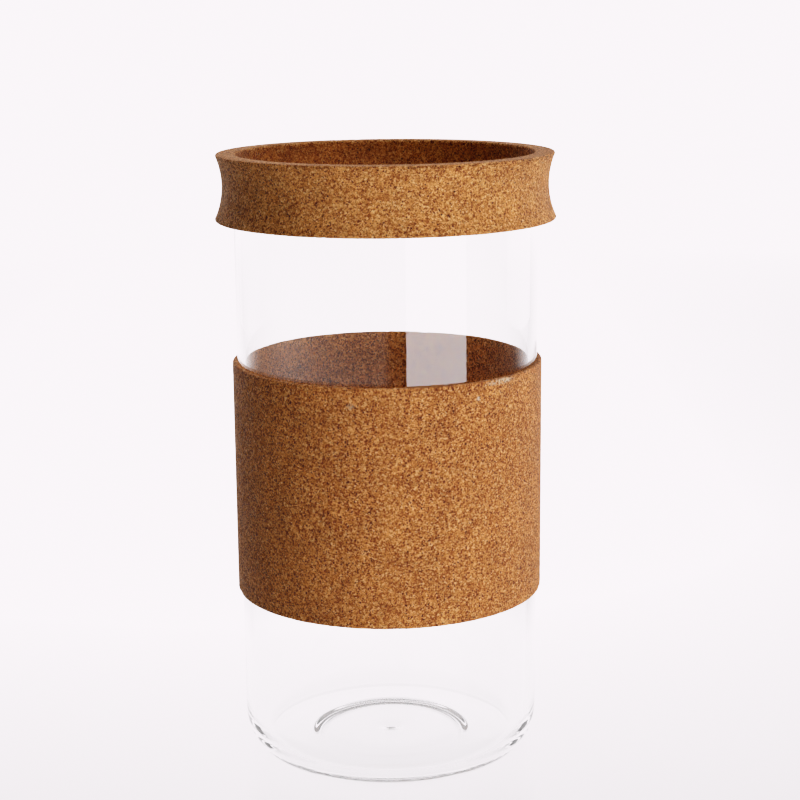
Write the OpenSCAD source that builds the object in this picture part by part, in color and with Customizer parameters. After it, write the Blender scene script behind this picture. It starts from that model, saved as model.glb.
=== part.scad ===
// Clear glass tumbler with a cork grip sleeve round its middle and a waisted cork collar on its rim.
// Three pieces on one upright axis: the sleeve slides along the glass and the collar lifts off the rim.
// Millimetres, +Z up. The origin is the centre of the base, which stands on Z = 0.

/* [Glass] */
// Outside diameter of the glass
glass_d = 90; // [89:0.5:92]
// Height of the glass, from the table to its own rim
glass_h = 173; // [171:0.5:175]
// Thickness of the side wall
wall_t = 2.6; // [2.2:0.1:3.2]
// Width of the rounded heel between the wall and the seat
heel_w = 7.2; // [6:0.1:8]
// Height of the rounded heel
heel_h = 11.3; // [9:0.1:13]
// Thickness of the floor
floor_t = 3.0; // [2.6:0.1:4]
// Width of the flat ring that the glass stands on
seat_w = 13; // [10:0.5:16]
// Height of the pushed-up middle of the base
kick_h = 1.7; // [1:0.1:1.8]
// Height of the small round mark under the middle of the base
pip_h = 0.6; // [0:0.1:0.8]

/* [Sleeve] */
// Height of the sleeve's lower edge above the table
sleeve_z = 50.2; // [40:0.1:60]
// Height of the cork band
sleeve_h = 70.1; // [50:0.1:80]
// Thickness of the sheet cork
sleeve_t = 1.3; // [1:0.1:2]

/* [Collar] */
// Height of the ring
collar_h = 19.5; // [18:0.1:22]
// Outside diameter at the top edge
collar_top_d = 99.8; // [98:0.1:102]
// Outside diameter at the waist
waist_d = 96.4; // [95:0.1:97]
// Outside diameter at the bottom edge
collar_base_d = 100.8; // [98:0.1:102]
// Diameter of the open mouth above the glass
mouth_d = 88.2; // [86:0.1:88.8]
// Depth of the mouth, from the top edge down to the ledge that sits on the rim
mouth_depth = 8.9; // [7:0.1:10]

/* [Fits] */
// Gap between cork and glass, all round and under the ledge
fit_gap = 0.1; // [0.05:0.01:0.3]

/* [Hidden] */

$fn = 96;
arc_step = 10;      // degrees between the points of a rounded corner
kick_steps = 24;    // points across the pushed-up part of the base
kick_power = 12;    // how flat the pushed-up middle is: higher is flatter, with a steeper flank
pip_r = 2.4;        // radius of the mark under the middle of the base
rim_round = 1;      // rounding of the fire-polished rim
sleeve_edge = 0.3;  // bevel on the sleeve's cut edges
collar_edge = 0.5;  // bevel on the collar's edges

glass_r = glass_d / 2;
bore_r = glass_r - wall_t;
seat_out_r = glass_r - heel_w;
seat_in_r = seat_out_r - seat_w;
inner_heel_w = heel_w - 1;
inner_heel_h = heel_h - 2;
cork_in_r = glass_r + fit_gap;
ledge_z = glass_h + fit_gap;
collar_top = ledge_z + mouth_depth;
collar_bottom = collar_top - collar_h;

// Height of the underside at radius r inside the seat: pushed up, with the soft mark hanging at its centre
function kick_z(r) = kick_h * pow(1 - pow(r / seat_in_r, kick_power), 2) - pip_h * exp(-pow(r / pip_r, 2));

// Quarter of an ellipse about [cx, cz], from angle a0 to angle a1
function corner(cx, cz, rx, rz, a0, a1) =
    let (turn = a1 > a0 ? arc_step : -arc_step)
    [for (a = [a0:turn:a1]) [cx + rx * cos(a), cz + rz * sin(a)]];

// Half section of the glass: underside, outer heel, rim, inner heel and flat floor
module glass_section() {
    underside = [for (i = [0:kick_steps]) let (r = seat_in_r * i / kick_steps) [r, kick_z(r)]];
    outer_heel = corner(seat_out_r, heel_h, heel_w, heel_h, -90, 0);
    rim_out = corner(glass_r - rim_round, glass_h - rim_round, rim_round, rim_round, 0, 90);
    rim_in = corner(bore_r + rim_round, glass_h - rim_round, rim_round, rim_round, 90, 180);
    inner_heel = corner(bore_r - inner_heel_w, floor_t + inner_heel_h, inner_heel_w, inner_heel_h, 0, -90);
    floor_in = [[0, floor_t]];
    polygon(concat(underside, outer_heel, rim_out, rim_in, inner_heel, floor_in));
}

// Half section of the collar: mouth, ledge and socket inside, one round hollow outside
module collar_section() {
    top_r = collar_top_d / 2;
    base_r = collar_base_d / 2;
    mouth_r = mouth_d / 2;
    upper = [top_r, collar_top - collar_edge];
    lower = [base_r, collar_bottom + collar_edge];
    middle = (upper + lower) / 2;
    chord = norm(upper - lower);
    outward = [upper.y - lower.y, lower.x - upper.x] / chord;
    hollow_depth = middle.x - waist_d / 2;
    hollow_r = (pow(chord / 2, 2) + pow(hollow_depth, 2)) / (2 * hollow_depth);
    difference() {
        polygon([
            [mouth_r + collar_edge, collar_top], [top_r - collar_edge, collar_top], upper,
            lower, [base_r - collar_edge, collar_bottom],
            [cork_in_r + collar_edge, collar_bottom], [cork_in_r, collar_bottom + collar_edge],
            [cork_in_r, ledge_z], [mouth_r, ledge_z], [mouth_r, collar_top - collar_edge]
        ]);
        translate(middle + outward * (hollow_r - hollow_depth)) circle(hollow_r);
    }
}

module glass_body() {
    color([0.85, 0.92, 0.94, 0.4]) rotate_extrude() glass_section();
}

module cork_sleeve() {
    out_r = cork_in_r + sleeve_t;
    top = sleeve_z + sleeve_h;
    color([0.72, 0.51, 0.31]) rotate_extrude() polygon([
        [cork_in_r, sleeve_z], [out_r - sleeve_edge, sleeve_z], [out_r, sleeve_z + sleeve_edge],
        [out_r, top - sleeve_edge], [out_r - sleeve_edge, top], [cork_in_r, top]
    ]);
}

module cork_collar() {
    color([0.67, 0.46, 0.27]) rotate_extrude() collar_section();
}

glass_body();
cork_sleeve();
cork_collar();
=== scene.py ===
import math

import bmesh
import bpy
import numpy as np
from mathutils import Matrix, Vector


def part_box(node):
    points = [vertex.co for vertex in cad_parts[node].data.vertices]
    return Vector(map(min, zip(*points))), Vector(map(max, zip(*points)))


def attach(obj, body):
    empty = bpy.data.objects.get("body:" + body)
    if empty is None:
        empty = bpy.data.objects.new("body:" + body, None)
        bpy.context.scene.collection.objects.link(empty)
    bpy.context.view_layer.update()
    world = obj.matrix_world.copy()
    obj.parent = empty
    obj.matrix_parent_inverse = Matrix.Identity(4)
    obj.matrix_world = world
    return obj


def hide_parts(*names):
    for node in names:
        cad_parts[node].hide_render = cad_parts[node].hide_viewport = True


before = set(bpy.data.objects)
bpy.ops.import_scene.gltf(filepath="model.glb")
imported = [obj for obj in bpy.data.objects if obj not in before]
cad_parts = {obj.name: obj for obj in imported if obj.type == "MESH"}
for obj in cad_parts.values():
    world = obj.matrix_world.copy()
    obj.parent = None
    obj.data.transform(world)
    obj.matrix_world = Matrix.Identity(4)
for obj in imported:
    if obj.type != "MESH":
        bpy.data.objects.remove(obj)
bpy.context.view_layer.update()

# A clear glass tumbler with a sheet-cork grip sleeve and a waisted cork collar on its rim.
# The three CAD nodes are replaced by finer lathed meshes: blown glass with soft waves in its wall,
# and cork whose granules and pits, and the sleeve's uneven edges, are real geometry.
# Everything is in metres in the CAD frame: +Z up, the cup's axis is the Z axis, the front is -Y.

MM = 0.001

# ---------------------------------------------------------------- sizes that the frame holds
_, glass_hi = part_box("glass_body")
sleeve_lo, sleeve_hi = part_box("cork_sleeve")
collar_lo, collar_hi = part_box("cork_collar")
GLASS_R, GLASS_H = glass_hi.x, glass_hi.z
SLEEVE_R, SLEEVE_BOTTOM, SLEEVE_TOP = sleeve_hi.x, sleeve_lo.z, sleeve_hi.z
COLLAR_BASE_R, COLLAR_BOTTOM, COLLAR_TOP = collar_hi.x, collar_lo.z, collar_hi.z

# ---------------------------------------------------------------- sizes that repeat the CAD design
WALL = 2.6 * MM
FIT_GAP = 0.1 * MM
HEEL_W, HEEL_H = 7.2 * MM, 11.3 * MM
FLOOR_T = 3.0 * MM
SEAT_W = 13.0 * MM
KICK_H, KICK_POWER = 1.7 * MM, 12
PIP_H, PIP_R = 0.6 * MM, 2.4 * MM
COLLAR_TOP_R = 49.9 * MM
WAIST_R = 48.2 * MM
MOUTH_R = 44.1 * MM
CORK_IN_R = GLASS_R + FIT_GAP
LEDGE_Z = GLASS_H + FIT_GAP

# ---------------------------------------------------------------- light and film
WHITE = 3.5                      # the blown-out white surroundings, as the eye and the glass see them
DIM_ROOM = 0.07                  # the room in front, as glossy surfaces see it
LEFT_TABLE = 1.6                 # the table at the left, as glossy surfaces see it
CEILING = 0.5                    # what is overhead, as the glass sees it
AMBIENT = (0.010, 0.006, 0.004)  # what the surroundings add to the light on the cork
FLOOR_BOUNCE = 0.02              # share of the table's white that falls on the cork from outside the cup
BASE_BOUNCE = 0.45               # and the share that comes up through the glass base
FILM_TOE = 0.05                  # how far the film pulls the darkest tones down
FILM_RANGE = 4.0                 # the brightest light that the film still tells apart
FILM_CAST = (1.0, 0.968, 0.99)   # the film's faint magenta cast, for red, green and blue
FILM_LIGHTS = (0.01, 0.03, 0.06, 0.12, 0.25, 0.45, 0.7, 1.0, 1.4, 1.9, 2.6)  # where the tone curve is set
# name, azimuth (0 in front, 90 at the right), distance, lower edge, upper edge, width, power in watts,
# whether it lights matt surfaces, and whether glossy surfaces mirror it
SOFTBOXES = [
    ("key_right", 36.5, 0.50, 0.0, 0.17, 0.414, 2.2, True, True),
    ("key_core", 36.5, 0.51, 0.0, 0.17, 0.422, 0.9, False, True),
    ("key_top", 36, 0.52, 0.17, 0.42, 0.404, 0.70, True, True),
    ("side_right", 118, 0.75, 0.0, 0.30, 0.50, 1.9, True, True),
    ("side_left", -126, 0.75, 0.0, 0.16, 0.50, 0.3, True, True),
    ("overhead", 180, 0.25, 0.85, 1.15, 0.50, 2.7, True, False),
]

# ---------------------------------------------------------------- the camera: metres, angles, and lens in mm
CAMERA_BACK, CAMERA_UP = 0.5497, 0.2264
PITCH, YAW, ROLL = math.radians(12.25), math.radians(0.39), math.radians(-0.518)
LENS, SENSOR = 83.57, 36.0

# ---------------------------------------------------------------- soft waves in the glass
# share, waves round the glass, phase, and how fast they twist up the wall in radians per metre
GLASS_WAVES = [(0.5, 3, 0.7, 6), (0.3, 7, 2.1, -11), (0.2, 13, 0.3, 23)]

# ---------------------------------------------------------------- the cork's colours
# place from dark granules (0) to pale ones (1), and colour
GRANULE_TONES = [
    (0.0, (0.09, 0.028, 0.009)),
    (0.25, (0.29, 0.110, 0.035)),
    (0.5, (0.54, 0.262, 0.090)),
    (0.72, (0.78, 0.45, 0.185)),
    (1.0, (1.0, 0.80, 0.50)),
]
DARKEST_BARK = (0.035, 0.010, 0.004)
PALEST_BARK = (0.19, 0.060, 0.018)
GLUE = (0.78, 0.62, 0.42)
# azimuth in degrees (0 at the front, 90 at the right), height, half width, half height, strength
GLUE_FLECKS = [
    (44, SLEEVE_TOP - 0.9 * MM, 6.5 * MM, 1.0 * MM, 0.9),
    (33.5, SLEEVE_TOP - 4.7 * MM, 0.9 * MM, 0.8 * MM, 0.9),
    (-13, SLEEVE_TOP - 5.2 * MM, 1.4 * MM, 1.1 * MM, 0.4),
]


# ================================================================ geometry helpers
def corner(cr, cz, rr, rz, a0, a1, count):
    """Points of an elliptical arc in the (radius, height) plane, angles in degrees."""
    return [(cr + rr * math.cos(math.radians(a)), cz + rz * math.sin(math.radians(a)))
            for a in np.linspace(a0, a1, count)]


def run(p, q, step):
    """Evenly spaced points strictly between p and q, about one step apart."""
    count = max(1, round(math.dist(p, q) / step))
    return [(p[0] + (q[0] - p[0]) * i / count, p[1] + (q[1] - p[1]) * i / count) for i in range(1, count)]


def joined(*stretches, step):
    """One outline through all the stretches, with the straight gaps between them filled at that step."""
    points = []
    for stretch in stretches:
        if points:
            points += run(points[-1], stretch[0], step)
        points += stretch
    return points


def lattice(cells, seed):
    """A repeatable random number from 0 to 1 for each whole-number cell, made by mixing its bits."""
    scatter_x, scatter_y, scatter_z, scatter_seed = 73856093, 19349663, 83492791, 2654435761
    first_mix, second_mix, low_bits = 2246822519, 3266489917, 0xFFFFFFFF
    x, y, z = (cells[..., i].astype(np.int64) for i in range(3))
    bits = (x * scatter_x) ^ (y * scatter_y) ^ (z * scatter_z) ^ (seed * scatter_seed)
    bits &= low_bits
    bits = ((bits ^ (bits >> 15)) * first_mix) & low_bits
    bits = ((bits ^ (bits >> 13)) * second_mix) & low_bits
    return ((bits ^ (bits >> 16)) & low_bits) / float(low_bits)


def noise(points, size, seed):
    """Smooth value noise from 0 to 1 over 3D points, with features about one size across."""
    p = points / size
    base = np.floor(p).astype(np.int64)
    f = p - base
    f = f * f * (3 - 2 * f)
    total = np.zeros(len(points))
    for dx in (0, 1):
        for dy in (0, 1):
            for dz in (0, 1):
                weight = (np.where(dx, f[:, 0], 1 - f[:, 0]) * np.where(dy, f[:, 1], 1 - f[:, 1])
                          * np.where(dz, f[:, 2], 1 - f[:, 2]))
                total += weight * lattice(base + np.array((dx, dy, dz)), seed)
    return total


def lathe(name, outline, turns, closed, relief=None):
    """A mesh of revolution. outline is a list of (radius, height), turns are the angles round the axis in
    radians, and relief(points, angle) gives how far each point moves along its normal."""
    line = np.array(outline)
    ahead = np.roll(line, -1, 0)
    behind = np.roll(line, 1, 0)
    if not closed:
        ahead[-1], behind[0] = line[-1], line[0]
    heading = ahead - behind
    heading /= np.linalg.norm(heading, axis=1)[:, None]
    out = np.stack([heading[:, 1], -heading[:, 0]], 1)
    cos, sin = np.cos(turns)[:, None], np.sin(turns)[:, None]
    points = np.stack([cos * line[:, 0], sin * line[:, 0], np.ones_like(cos) * line[:, 1]], 2)
    normals = np.stack([cos * out[:, 0], sin * out[:, 0], np.ones_like(cos) * out[:, 1]], 2)
    rows, cols = len(turns), len(line)
    if relief is not None:
        angle = np.repeat(turns, cols)
        height = relief(points.reshape(-1, 3), angle).reshape(rows, cols)
        points = points + normals * height[:, :, None]
    row = np.arange(rows)[:, None]
    col = np.arange(cols if closed else cols - 1)[None, :]
    next_row, next_col = (row + 1) % rows, (col + 1) % cols
    faces = np.stack([row * cols + col, next_row * cols + col,
                      next_row * cols + next_col, row * cols + next_col], 2).reshape(-1, 4)
    mesh = bpy.data.meshes.new(name)
    mesh.from_pydata(points.reshape(-1, 3).tolist(), [], faces.tolist())
    if not closed:
        weld_on_axis(mesh)
    mesh.validate()
    mesh.shade_smooth()
    piece = bpy.data.objects.new(name, mesh)
    bpy.context.scene.collection.objects.link(piece)
    return piece


def weld_on_axis(mesh):
    """The ends of an open outline lie on the axis: welds each ring of end points into one point, and drops
    the faces that this leaves with no area."""
    same_place, no_length = 1e-7, 1e-9
    bm = bmesh.new()
    bm.from_mesh(mesh)
    on_axis = [v for v in bm.verts if math.hypot(v.co.x, v.co.y) < same_place]
    bmesh.ops.remove_doubles(bm, verts=on_axis, dist=same_place)
    bmesh.ops.dissolve_degenerate(bm, edges=bm.edges, dist=no_length)
    bm.to_mesh(mesh)
    bm.free()


def even_turns(count):
    return np.linspace(0, 2 * math.pi, count, endpoint=False)


def smoothstep(x, low, high):
    t = np.clip((x - low) / (high - low), 0, 1)
    return t * t * (3 - 2 * t)


# ================================================================ node helpers
class Nodes:
    """Short calls for building a shader node tree."""

    def __init__(self, tree):
        self.tree = tree
        tree.nodes.clear()

    def add(self, kind, inputs=None, **settings):
        node = self.tree.nodes.new(kind)
        for key, value in settings.items():
            setattr(node, key, value)
        for key, value in (inputs or {}).items():
            self.feed(node.inputs[key], value)
        return node

    def feed(self, socket, value):
        if isinstance(value, bpy.types.NodeSocket):
            self.tree.links.new(value, socket)
        else:
            socket.default_value = value

    def math(self, operation, a, b=0.0, c=0.0):
        return self.add("ShaderNodeMath", {0: a, 1: b, 2: c}, operation=operation).outputs[0]

    def vector(self, operation, a, b):
        return self.add("ShaderNodeVectorMath", {0: a, 1: b}, operation=operation).outputs[0]

    def scaled(self, a, factor):
        return self.add("ShaderNodeVectorMath", {0: a, "Scale": factor}, operation="SCALE").outputs[0]

    def length(self, a):
        return self.add("ShaderNodeVectorMath", {0: a}, operation="LENGTH").outputs["Value"]

    def blend(self, factor, low, high):
        return self.math("MULTIPLY_ADD", factor, self.math("SUBTRACT", high, low), low)

    def noise(self, place, scale, **inputs):
        settings = {name.capitalize(): value for name, value in inputs.items()}
        return self.add("ShaderNodeTexNoise", {"Vector": place, "Scale": scale, **settings})

    def bump(self, height, strength, distance):
        node = self.add("ShaderNodeBump", {"Height": height, "Strength": strength, "Distance": distance})
        return node.outputs[0]

    def ramp(self, value, stops):
        node = self.add("ShaderNodeValToRGB", {"Fac": value})
        while len(node.color_ramp.elements) < len(stops):
            node.color_ramp.elements.new(0.5)
        for element, (place, colour) in zip(node.color_ramp.elements, stops):
            element.position = place
            element.color = (*colour, 1)
        return node.outputs["Color"]

    def mix(self, factor, a, b, blend="MIX"):
        node = self.add("ShaderNodeMix", data_type="RGBA", blend_type=blend)
        self.feed(node.inputs[0], factor)
        self.feed(node.inputs[6], a)
        self.feed(node.inputs[7], b)
        return node.outputs[2]

    def remap(self, value, low, high, to_low=0.0, to_high=1.0):
        return self.add("ShaderNodeMapRange", {"Value": value, "From Min": low, "From Max": high,
                                               "To Min": to_low, "To Max": to_high}).outputs["Result"]


def new_material(name):
    material = bpy.data.materials.new(name)
    material.use_nodes = True
    return material, Nodes(material.node_tree)


# ================================================================ materials
def glass_material():
    """Clear glass. Lamps and bounced light pass straight through it, so what is inside is lit."""
    ripple_scale, ripple_strength, ripple_depth = 38.0, 0.25, 0.05 * MM
    tint, ior, shadow_tint = (0.985, 0.992, 0.99, 1), 1.474, (0.97, 0.975, 0.975, 1)
    material, n = new_material("clear_glass")
    place = n.add("ShaderNodeTexCoord").outputs["Object"]
    ripple = n.noise(place, ripple_scale, detail=1.0, roughness=0.4).outputs["Fac"]
    glass = n.add("ShaderNodeBsdfPrincipled", {
        "Base Color": tint, "Roughness": 0.0, "IOR": ior, "Transmission Weight": 1.0,
        "Normal": n.bump(ripple, ripple_strength, ripple_depth)})
    through = n.add("ShaderNodeBsdfTransparent", {"Color": shadow_tint})
    path = n.add("ShaderNodeLightPath")
    for_lamps = n.add("ShaderNodeMixShader", {0: path.outputs["Is Shadow Ray"], 1: glass.outputs[0],
                                              2: through.outputs[0]})
    for_bounces = n.add("ShaderNodeMixShader", {0: path.outputs["Is Diffuse Ray"], 1: for_lamps.outputs[0],
                                                2: through.outputs[0]})
    n.add("ShaderNodeOutputMaterial", {"Surface": for_bounces.outputs[0]})
    return material


def cork_material(name, granule, tone, dark_share, inside_painted_shading, roughness, flecks=()):
    """Agglomerated cork. granule is the granules' size in metres, tone scales its colour, dark_share is how
    much of it is dark bark, inside_painted_shading scales the colour of the inside to paint in the light and
    shade that the inside gets, roughness is that of a middling granule, and flecks are rows like those of
    GLUE_FLECKS."""
    material, n = new_material(name)
    place = n.add("ShaderNodeTexCoord").outputs["Object"]
    warp_scale, warp_shift = 0.9 / granule, 1.3 * granule
    chip_size, chip_share = 0.62 * granule, 0.45
    bark_size, bark_least, bark_most, bark_edge = 1.25 * granule, 0.22, 0.58, (-0.06, 0.10)
    slow_scale, glue_scale, fine_scale = 110.0, 1500.0, 2600.0
    slow_spread, slow_gain, glue_spread = (0.3, 0.7), (0.80, 1.20), (0.38, 0.58)
    inner_edge, rim_edge = (0.2 * MM, -0.2 * MM), (-0.2 * MM, -0.8 * MM)
    groove_half, fine_part, granule_part, groove_part, bark_part = 0.16, 0.35, 0.6, 0.5, -0.8
    bump_strength, bump_depth, roughness_spread, ior = 0.8, 0.17 * MM, 0.12, 1.45

    # the granules: warped cells, each with its own shade, and finer chips among them
    warp = n.noise(place, warp_scale, detail=1.0).outputs["Color"]
    pushed = n.scaled(n.vector("SUBTRACT", warp, (0.5, 0.5, 0.5)), warp_shift)
    warped = n.vector("ADD", place, pushed)

    def cells(size, **settings):
        inputs = {"Vector": warped, "Scale": 1 / size, "Randomness": 1.0}
        return n.add("ShaderNodeTexVoronoi", inputs, **settings)

    def shades(cell_pattern):
        return n.add("ShaderNodeSeparateColor", {0: cell_pattern.outputs["Color"]}).outputs

    def toned(colour):
        return tuple(part * scale for part, scale in zip(colour, tone))

    shade = shades(cells(granule))[0]
    chip = shades(cells(chip_size))[1]
    blended = n.math("MULTIPLY_ADD", chip, chip_share, n.math("MULTIPLY", shade, 1 - chip_share))
    colour = n.ramp(blended, [(stop, toned(granule_tone)) for stop, granule_tone in GRANULE_TONES])

    # bark: small dark bits of uneven size, a share of the cells of a second lattice
    bark = cells(bark_size)
    pick = shades(bark)
    size = n.remap(pick[1], 1 - dark_share, 1.0, bark_least, bark_most)
    kept = n.math("GREATER_THAN", pick[1], 1 - dark_share)
    edge_of_bark = n.remap(n.math("SUBTRACT", size, bark.outputs["Distance"]), *bark_edge)
    is_bark = n.math("MULTIPLY", kept, edge_of_bark)
    dark = n.mix(pick[0], (*toned(DARKEST_BARK), 1), (*toned(PALEST_BARK), 1))
    colour = n.mix(is_bark, colour, dark)

    # slow mottling, as batches of granules differ, and painted light and shade on the inside: its colour is
    # scaled, lighter in the sleeve and darker in the collar, for the light that reaches it there; this ends
    # just below the rim
    slow = n.noise(place, slow_scale, detail=5.0, roughness=0.75).outputs["Fac"]
    colour = n.scaled(colour, n.remap(slow, *slow_spread, *slow_gain))
    radius = n.length(n.vector("MULTIPLY", place, (1, 1, 0)))
    height = n.add("ShaderNodeSeparateXYZ", {0: place}).outputs[2]
    inside = n.remap(radius, *(CORK_IN_R + shift for shift in inner_edge))
    below_rim = n.remap(height, *(COLLAR_TOP + shift for shift in rim_edge))
    painted_inside_colour = n.mix(1.0, colour, (*inside_painted_shading, 1), "MULTIPLY")
    colour = n.mix(n.math("MULTIPLY", inside, below_rim), colour, painted_inside_colour)

    # flecks of dried glue
    patchy = n.noise(place, glue_scale, detail=2.0).outputs["Fac"]
    for azimuth, fleck_height, half_width, half_height, strength in flecks:
        a = math.radians(azimuth)
        centre = (math.sin(a) * SLEEVE_R, -math.cos(a) * SLEEVE_R, fleck_height)
        across = (1 / half_width, 1 / half_width, 1 / half_height)
        away = n.length(n.vector("MULTIPLY", n.vector("SUBTRACT", place, centre), across))
        film = n.math("MULTIPLY", n.remap(away, 1.0, 0.5), n.remap(patchy, *glue_spread, 0.0, strength))
        colour = n.mix(film, colour, (*GLUE, 1))

    # relief: granules stand at slightly different heights, with grooves between them, and bark sits in pits
    groove = n.remap(cells(granule, feature="DISTANCE_TO_EDGE").outputs["Distance"], 0.0, groove_half)
    fine = n.noise(place, fine_scale, detail=2.0).outputs["Fac"]
    relief = n.math("MULTIPLY_ADD", fine, fine_part, n.math("MULTIPLY", blended, granule_part))
    relief = n.math("MULTIPLY_ADD", groove, groove_part, relief)
    relief = n.math("MULTIPLY_ADD", is_bark, bark_part, relief)
    rough = n.remap(blended, 0.0, 1.0, roughness + roughness_spread, roughness - roughness_spread)
    cork = n.add("ShaderNodeBsdfPrincipled", {
        "Base Color": colour, "Roughness": rough, "IOR": ior,
        "Normal": n.bump(relief, bump_strength, bump_depth)})
    n.add("ShaderNodeOutputMaterial", {"Surface": cork.outputs[0]})
    return material


# ================================================================ the glass
def kick(r, seat_in_r):
    """Height of the underside at radius r inside the seat: pushed up, with a soft mark at its centre."""
    return KICK_H * (1 - (r / seat_in_r) ** KICK_POWER) ** 2 - PIP_H * math.exp(-(r / PIP_R) ** 2)


def make_glass(material):
    """One clear vessel: a pushed-up base, rounded heels, a straight wall and a fire-polished lip."""
    kick_points, heel_points, lip_points, inner_points = 96, 32, 17, 28
    wall_step, turns_round = 3.5 * MM, 288
    wave_depth, calm_below_rim, calm_at_rim = 0.03 * MM, 12 * MM, 4 * MM
    bore_r = GLASS_R - WALL
    seat_out_r = GLASS_R - HEEL_W
    seat_in_r = seat_out_r - SEAT_W
    inner_w, inner_h = HEEL_W - 1 * MM, HEEL_H - 2 * MM
    lip = WALL / 2
    outline = joined(
        [(r, kick(r, seat_in_r)) for r in np.linspace(0, seat_in_r, kick_points)],
        corner(seat_out_r, HEEL_H, HEEL_W, HEEL_H, -90, 0, heel_points),
        corner(GLASS_R - lip, GLASS_H - lip, lip, lip, 0, 180, lip_points),
        corner(bore_r - inner_w, FLOOR_T + inner_h, inner_w, inner_h, 0, -90, inner_points),
        [(0, FLOOR_T)],
        step=wall_step)

    def relief(points, angle):
        """Blown glass is never quite round: soft waves that run up the wall."""
        along = points[:, 2]
        wave = sum(share * np.sin(count * angle + phase + twist * along)
                   for share, count, phase, twist in GLASS_WAVES)
        below_rim = 1 - smoothstep(along, GLASS_H - calm_below_rim, GLASS_H - calm_at_rim)
        on_wall = smoothstep(along, HEEL_H, 3 * HEEL_H) * below_rim
        return wave_depth * wave * on_wall

    piece = lathe("tumbler_glass", outline, even_turns(turns_round), False, relief)
    piece.data.materials.append(material)
    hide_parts("glass_body")
    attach(piece, "glass")


# ================================================================ the cork pieces
def cork_relief(points, depth, seed):
    """Granule relief: shallow height steps, and here and there a pit where a granule is missing."""
    granule_size, crumb_size, pit_size = 0.95 * MM, 0.5 * MM, 1.3 * MM
    granule_part, crumb_part, pit_part, pit_starts, pit_full = 0.9, 0.5, 2.2, 0.74, 0.9
    granules = noise(points, granule_size, seed) - 0.5
    crumbs = noise(points, crumb_size, seed + 1) - 0.5
    pits = smoothstep(noise(points, pit_size, seed + 2), pit_starts, pit_full)
    return depth * (granule_part * granules + crumb_part * crumbs - pit_part * pits)


def make_sleeve(material):
    """The band, with its cut edges a little uneven, and a shallow groove for the seam at the back."""
    edge, edge_points = 0.35 * MM, 5
    outer_step, end_step, inner_step, turns_round = 0.56 * MM, 0.45 * MM, 3.5 * MM, 620
    grain_depth, grain_seed = 0.075 * MM, 11
    seam_at, seam_depth, seam_half, seam_clear = math.radians(90), 0.3 * MM, 0.45 * MM, 1.1 * MM
    rim_reach, rim_depth, rim_grain, rim_seed, rim_level = 1.2 * MM, 0.09 * MM, 1.4 * MM, 21, 0.6
    top, bottom, r0, r1 = SLEEVE_TOP, SLEEVE_BOTTOM, CORK_IN_R, SLEEVE_R
    outline = (
        corner(r1 - edge, bottom + edge, edge, edge, -90, 0, edge_points)
        + run((r1, bottom + edge), (r1, top - edge), outer_step)
        + corner(r1 - edge, top - edge, edge, edge, 0, 90, edge_points)
        + run((r1 - edge, top), (r0, top), end_step)
        + [(r0, top)] + run((r0, top), (r0, bottom), inner_step) + [(r0, bottom)]
        + run((r0, bottom), (r1 - edge, bottom), end_step))
    beside_seam = np.array((-0.9, -0.6, -0.4, -0.2, 0.0, 0.2, 0.4, 0.6, 0.9)) * MM / r1
    away_from_seam = [a for a in even_turns(turns_round) if abs(a - seam_at) > seam_clear / r1]
    turns = np.sort(np.concatenate((away_from_seam, seam_at + beside_seam)))

    def relief(points, angle):
        radius = np.hypot(points[:, 0], points[:, 1])
        outer = smoothstep(radius, r0 + 0.15 * MM, r0 + 0.6 * MM)
        height = cork_relief(points, grain_depth, grain_seed) * outer
        height -= outer * seam_depth * (1 - smoothstep(np.abs(angle - seam_at), 0.0, seam_half / r1))
        from_middle, half = np.abs(points[:, 2] - (top + bottom) / 2), (top - bottom) / 2
        rim = smoothstep(from_middle, half - rim_reach, half)
        height += rim * outer * rim_depth * (noise(points, rim_grain, rim_seed) - rim_level)
        return height

    piece = lathe("grip_sleeve_cork", outline, turns, True, relief)
    piece.data.materials.append(material)
    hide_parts("cork_sleeve")
    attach(piece, "sleeve")


def collar_outline():
    """The collar's section: one round hollow outside, rounded edges, and mouth, ledge and socket inside."""
    edge, inner_edge, step = 0.5 * MM, 0.4 * MM, 0.52 * MM
    waist_points, top_points, low_points = 42, 5, 4
    upper = np.array((COLLAR_TOP_R, COLLAR_TOP - edge))
    lower = np.array((COLLAR_BASE_R, COLLAR_BOTTOM + edge))
    middle, chord = (upper + lower) / 2, np.linalg.norm(upper - lower)
    outward = np.array((upper[1] - lower[1], lower[0] - upper[0])) / chord
    depth = middle[0] - WAIST_R
    hollow_r = ((chord / 2) ** 2 + depth ** 2) / (2 * depth)
    centre = middle + outward * (hollow_r - depth)
    half = math.degrees(math.asin(chord / 2 / hollow_r))
    tilt = math.degrees(math.atan2(-outward[1], -outward[0]))
    socket_r = CORK_IN_R + inner_edge
    return joined(
        corner(centre[0], centre[1], hollow_r, hollow_r, tilt + half, tilt - half, waist_points),
        corner(COLLAR_TOP_R - edge, COLLAR_TOP - edge, edge, edge, 0, 90, top_points),
        corner(MOUTH_R + inner_edge, COLLAR_TOP - inner_edge, inner_edge, inner_edge, 90, 180, top_points),
        [(MOUTH_R, LEDGE_Z), (CORK_IN_R, LEDGE_Z)],
        corner(socket_r, COLLAR_BOTTOM + inner_edge, inner_edge, inner_edge, 180, 270, low_points),
        corner(COLLAR_BASE_R - edge, COLLAR_BOTTOM + edge, edge, edge, -90, -10, low_points),
        step=step)


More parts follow.
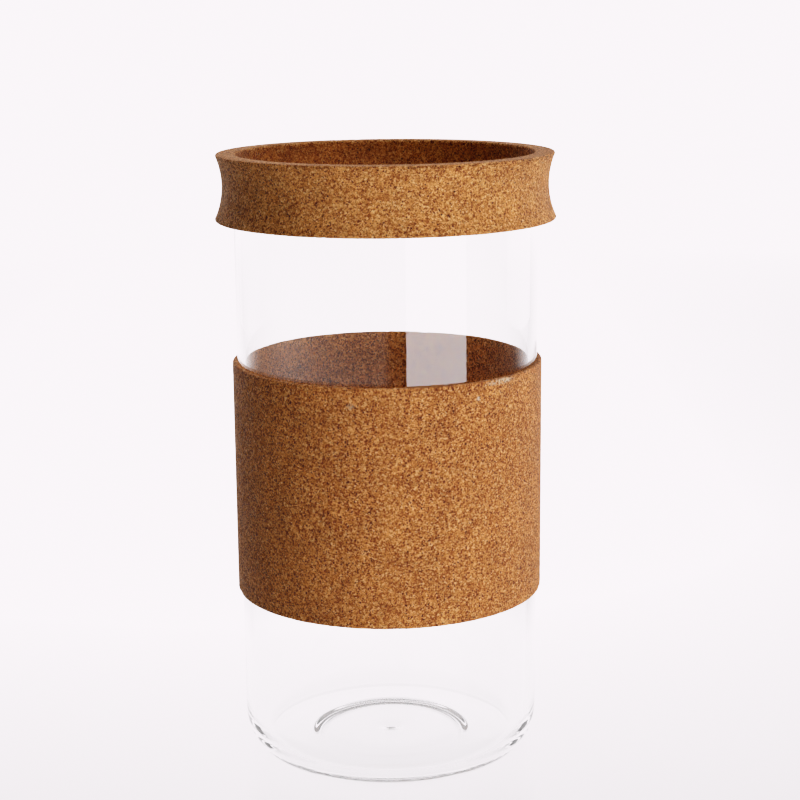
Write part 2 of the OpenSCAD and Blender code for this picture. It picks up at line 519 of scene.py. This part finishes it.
def make_collar(material):
    """The ring, with its granules worn smoother along the top edge and none where it touches the glass."""
    turns_round, grain_depth, grain_seed = 660, 0.07 * MM, 31
    rim_reach, rim_smoothing = 0.6 * MM, 0.55

    def relief(points, _angle):
        radius = np.hypot(points[:, 0], points[:, 1])
        free = np.maximum(smoothstep(radius, CORK_IN_R + 0.2 * MM, CORK_IN_R + 0.8 * MM),
                          smoothstep(points[:, 2], LEDGE_Z + 0.3 * MM, LEDGE_Z + 0.9 * MM))
        height = cork_relief(points, grain_depth, grain_seed) * free
        rim = smoothstep(points[:, 2], COLLAR_TOP - rim_reach, COLLAR_TOP)
        return height * (1 - rim_smoothing * rim)

    piece = lathe("rim_collar_cork", collar_outline(), even_turns(turns_round), True, relief)
    piece.data.materials.append(material)
    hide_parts("cork_collar")
    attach(piece, "collar")


# ================================================================ table, surroundings, light and camera
def table_light(n, x, y, from_cup, is_diffuse):
    """The table's own light as the eye sees it: white behind the cup, greyer towards the camera and the
    sides, and white again far off, where it merges with the surroundings."""
    white_x, white_y, side_share = -0.05, 0.25, 0.7
    turns_grey, grey_ends_behind, merges = (0.15, 0.37), (1.1, 0.3), (1.2, 2.5)
    grey, grey_curve = 0.40 * WHITE, 0.6
    aside = n.math("MULTIPLY", n.math("SUBTRACT", x, white_x), side_share)
    nearer = n.math("MINIMUM", n.math("SUBTRACT", y, white_y), 0.0)
    squares = n.math("ADD", n.math("MULTIPLY", aside, aside), n.math("MULTIPLY", nearer, nearer))
    falloff = n.remap(n.math("POWER", squares, 0.5), *turns_grey)
    falloff = n.math("MULTIPLY", falloff, n.remap(y, *grey_ends_behind))
    merged = n.math("MULTIPLY", n.remap(from_cup, *merges), n.math("SUBTRACT", 1.0, is_diffuse))
    falloff = n.math("MULTIPLY", falloff, n.math("SUBTRACT", 1.0, merged))
    return n.blend(n.math("POWER", falloff, grey_curve), WHITE, grey)


def table_mirrored(n, x, y, from_cup, light):
    """The table as glossy surfaces see it: its own light behind the cup and close round it, and elsewhere
    a dim room, with a brighter stretch at the left."""
    behind, round_cup, left = (0.25, 0.40), (0.20, 0.12), (0.04, -0.04)
    front_end, back_end = (-0.70, -0.25, 0.35, 1.0), (-0.10, 0.20, 1.0, 0.35)
    at_left = n.math("MULTIPLY", n.remap(x, *left), n.remap(y, *front_end))
    at_left = n.math("MULTIPLY", at_left, n.remap(y, *back_end))
    bright = n.math("MAXIMUM", n.remap(y, *behind), n.remap(from_cup, *round_cup))
    return n.blend(bright, n.blend(at_left, DIM_ROOM, LEFT_TABLE), light)


def table_material():
    """A table that shines by itself, takes a little light, and mirrors a little close round the cup."""
    under_base, shine_fades = (0.036, 0.046), (0.25, 0.15)
    matt_grey, shine_roughness, shine_ior, most_shine = 0.10, 0.12, 1.3, 0.25
    material, n = new_material("pale_table")
    where = n.add("ShaderNodeTexCoord").outputs["Object"]
    place = n.add("ShaderNodeSeparateXYZ", {0: where}).outputs
    path = n.add("ShaderNodeLightPath").outputs
    from_cup = n.length(where)
    light = table_light(n, place[0], place[1], from_cup, path["Is Diffuse Ray"])
    mirrored = table_mirrored(n, place[0], place[1], from_cup, light)
    seen = n.blend(path["Is Glossy Ray"], light, mirrored)
    bounce = n.remap(from_cup, *under_base, BASE_BOUNCE - 1, FLOOR_BOUNCE - 1)
    strength = n.math("MULTIPLY_ADD", path["Is Diffuse Ray"], n.math("MULTIPLY", seen, bounce), seen)
    glow = n.add("ShaderNodeEmission", {"Strength": strength})
    matt = n.add("ShaderNodeBsdfDiffuse", {"Color": (matt_grey, matt_grey, matt_grey, 1)})
    shine = n.add("ShaderNodeBsdfGlossy", {"Color": (1, 1, 1, 1), "Roughness": shine_roughness})
    lit = n.add("ShaderNodeAddShader", {0: glow.outputs[0], 1: matt.outputs[0]})
    facing = n.math("MINIMUM", n.add("ShaderNodeFresnel", {"IOR": shine_ior}).outputs[0], most_shine)
    facing = n.math("MULTIPLY", facing, n.remap(from_cup, *shine_fades))
    shader = n.add("ShaderNodeMixShader", {0: facing, 1: lit.outputs[0], 2: shine.outputs[0]})
    n.add("ShaderNodeOutputMaterial", {"Surface": shader.outputs[0]})
    return material


def make_floor():
    """The table's top, just under the cup so that no two faces coincide."""
    half, level = 40.0, -0.03 * MM
    corners = [(x, y, level) for x, y in ((-half, -half), (half, -half), (half, half), (-half, half))]
    mesh = bpy.data.meshes.new("floor")
    mesh.from_pydata(corners, [], [(0, 1, 2, 3)])
    mesh.materials.append(table_material())
    floor = bpy.data.objects.new("floor", mesh)
    bpy.context.scene.collection.objects.link(floor)


def make_world():
    """White to the eye and, but for a grey ceiling, through the glass. Glossy surfaces see a dim room with
    a white backdrop behind, and matt surfaces get only a little light from it."""
    backdrop_starts, ceiling_starts = (0.45, 0.65), (0.30, 0.55)
    world = bpy.data.worlds.new("studio")
    bpy.context.scene.world = world
    world.use_nodes = True
    n = Nodes(world.node_tree)
    direction = n.add("ShaderNodeSeparateXYZ", {0: n.add("ShaderNodeTexCoord").outputs["Generated"]}).outputs
    path = n.add("ShaderNodeLightPath").outputs
    mirrored = n.blend(n.remap(direction[1], *backdrop_starts), DIM_ROOM, WHITE)
    through = n.blend(n.remap(direction[2], *ceiling_starts), WHITE, CEILING)
    seen = n.blend(path["Is Glossy Ray"], WHITE, mirrored)
    seen = n.blend(path["Is Transmission Ray"], seen, through)
    white = n.add("ShaderNodeCombineColor", {0: seen, 1: seen, 2: seen}).outputs[0]
    colour = n.mix(path["Is Diffuse Ray"], white, (*AMBIENT, 1))
    back = n.add("ShaderNodeBackground", {"Color": colour, "Strength": 1.0})
    n.add("ShaderNodeOutputWorld", {"Surface": back.outputs[0]})


def softbox(name, azimuth, distance, low, high, width, power, lights_matt, mirrored):
    """A rectangular studio light that stands round the cup and faces it. Azimuth is in degrees,
    0 at the front and 90 at the right; low and high are its edges' heights."""
    light = bpy.data.lights.new(name, "AREA")
    light.shape, light.size, light.size_y = "RECTANGLE", width, high - low
    light.energy = power
    lamp = bpy.data.objects.new(name, light)
    a = math.radians(azimuth)
    spot = Vector((math.sin(a) * distance, -math.cos(a) * distance, (low + high) / 2))
    aim = Vector((0, 0, GLASS_H / 2)) - spot
    lamp.matrix_world = Matrix.Translation(spot) @ aim.to_track_quat("-Z", "Y").to_matrix().to_4x4()
    lamp.visible_camera = lamp.visible_transmission = False
    lamp.visible_diffuse, lamp.visible_glossy = lights_matt, mirrored
    bpy.context.scene.collection.objects.link(lamp)


def make_camera():
    """The eye is a little above the cup, in front of it, looking slightly down."""
    data = bpy.data.cameras.new("camera")
    data.lens, data.sensor_width = LENS, SENSOR
    data.clip_start, data.clip_end = 0.01, 50
    camera = bpy.data.objects.new("camera", data)
    forward = Vector((math.sin(YAW) * math.cos(PITCH), math.cos(YAW) * math.cos(PITCH), -math.sin(PITCH)))
    right = Vector((math.cos(YAW), -math.sin(YAW), 0))
    up = right.cross(forward)
    rolled_right = right * math.cos(ROLL) + up * math.sin(ROLL)
    rolled_up = up * math.cos(ROLL) - right * math.sin(ROLL)
    turn = Matrix((rolled_right, rolled_up, -forward)).transposed().to_4x4()
    camera.matrix_world = Matrix.Translation((0, -CAMERA_BACK, CAMERA_UP)) @ turn
    bpy.context.scene.collection.objects.link(camera)
    bpy.context.scene.camera = camera


def film_tone(light):
    """The picture's tone for an amount of light: a toe in the darks and a shoulder in the whites."""
    return light / math.sqrt(1 + light * light) * light / (light + FILM_TOE)


def set_film():
    """Enough bounces for light to get out of the glass, and a tone curve with a toe and a shoulder."""
    cycles = bpy.context.scene.cycles
    cycles.max_bounces = 40
    cycles.glossy_bounces = cycles.transmission_bounces = 32
    cycles.transparent_max_bounces = 32
    view = bpy.context.scene.view_settings
    view.view_transform = "Standard"
    view.use_curve_mapping = True
    view.curve_mapping.white_level = (FILM_RANGE,) * 3
    for film, cast in zip(view.curve_mapping.curves, FILM_CAST):
        film.points[-1].location = (1, cast * film_tone(FILM_RANGE))
        for light in FILM_LIGHTS:
            film.points.new(light / FILM_RANGE, cast * film_tone(light))
    view.curve_mapping.update()


# ================================================================ the scene
make_glass(glass_material())
make_sleeve(cork_material(
    "sheet_cork", granule=0.46 * MM, tone=(1.03, 0.75, 0.54), dark_share=0.46,
    # painted light: the inside of the sleeve is made lighter for the light that reaches it through the glass
    inside_painted_shading=(1.5, 1.45, 1.5), roughness=0.74, flecks=GLUE_FLECKS))
make_collar(cork_material(
    "block_cork", granule=0.45 * MM, tone=(1.10, 0.86, 0.64), dark_share=0.24,
    # painted shade: the inside of the collar is made darker for the shade that falls in the deep ring
    inside_painted_shading=(0.60, 0.46, 0.32), roughness=0.76))
make_floor()
make_world()
for row in SOFTBOXES:
    softbox(*row)
make_camera()
set_film()
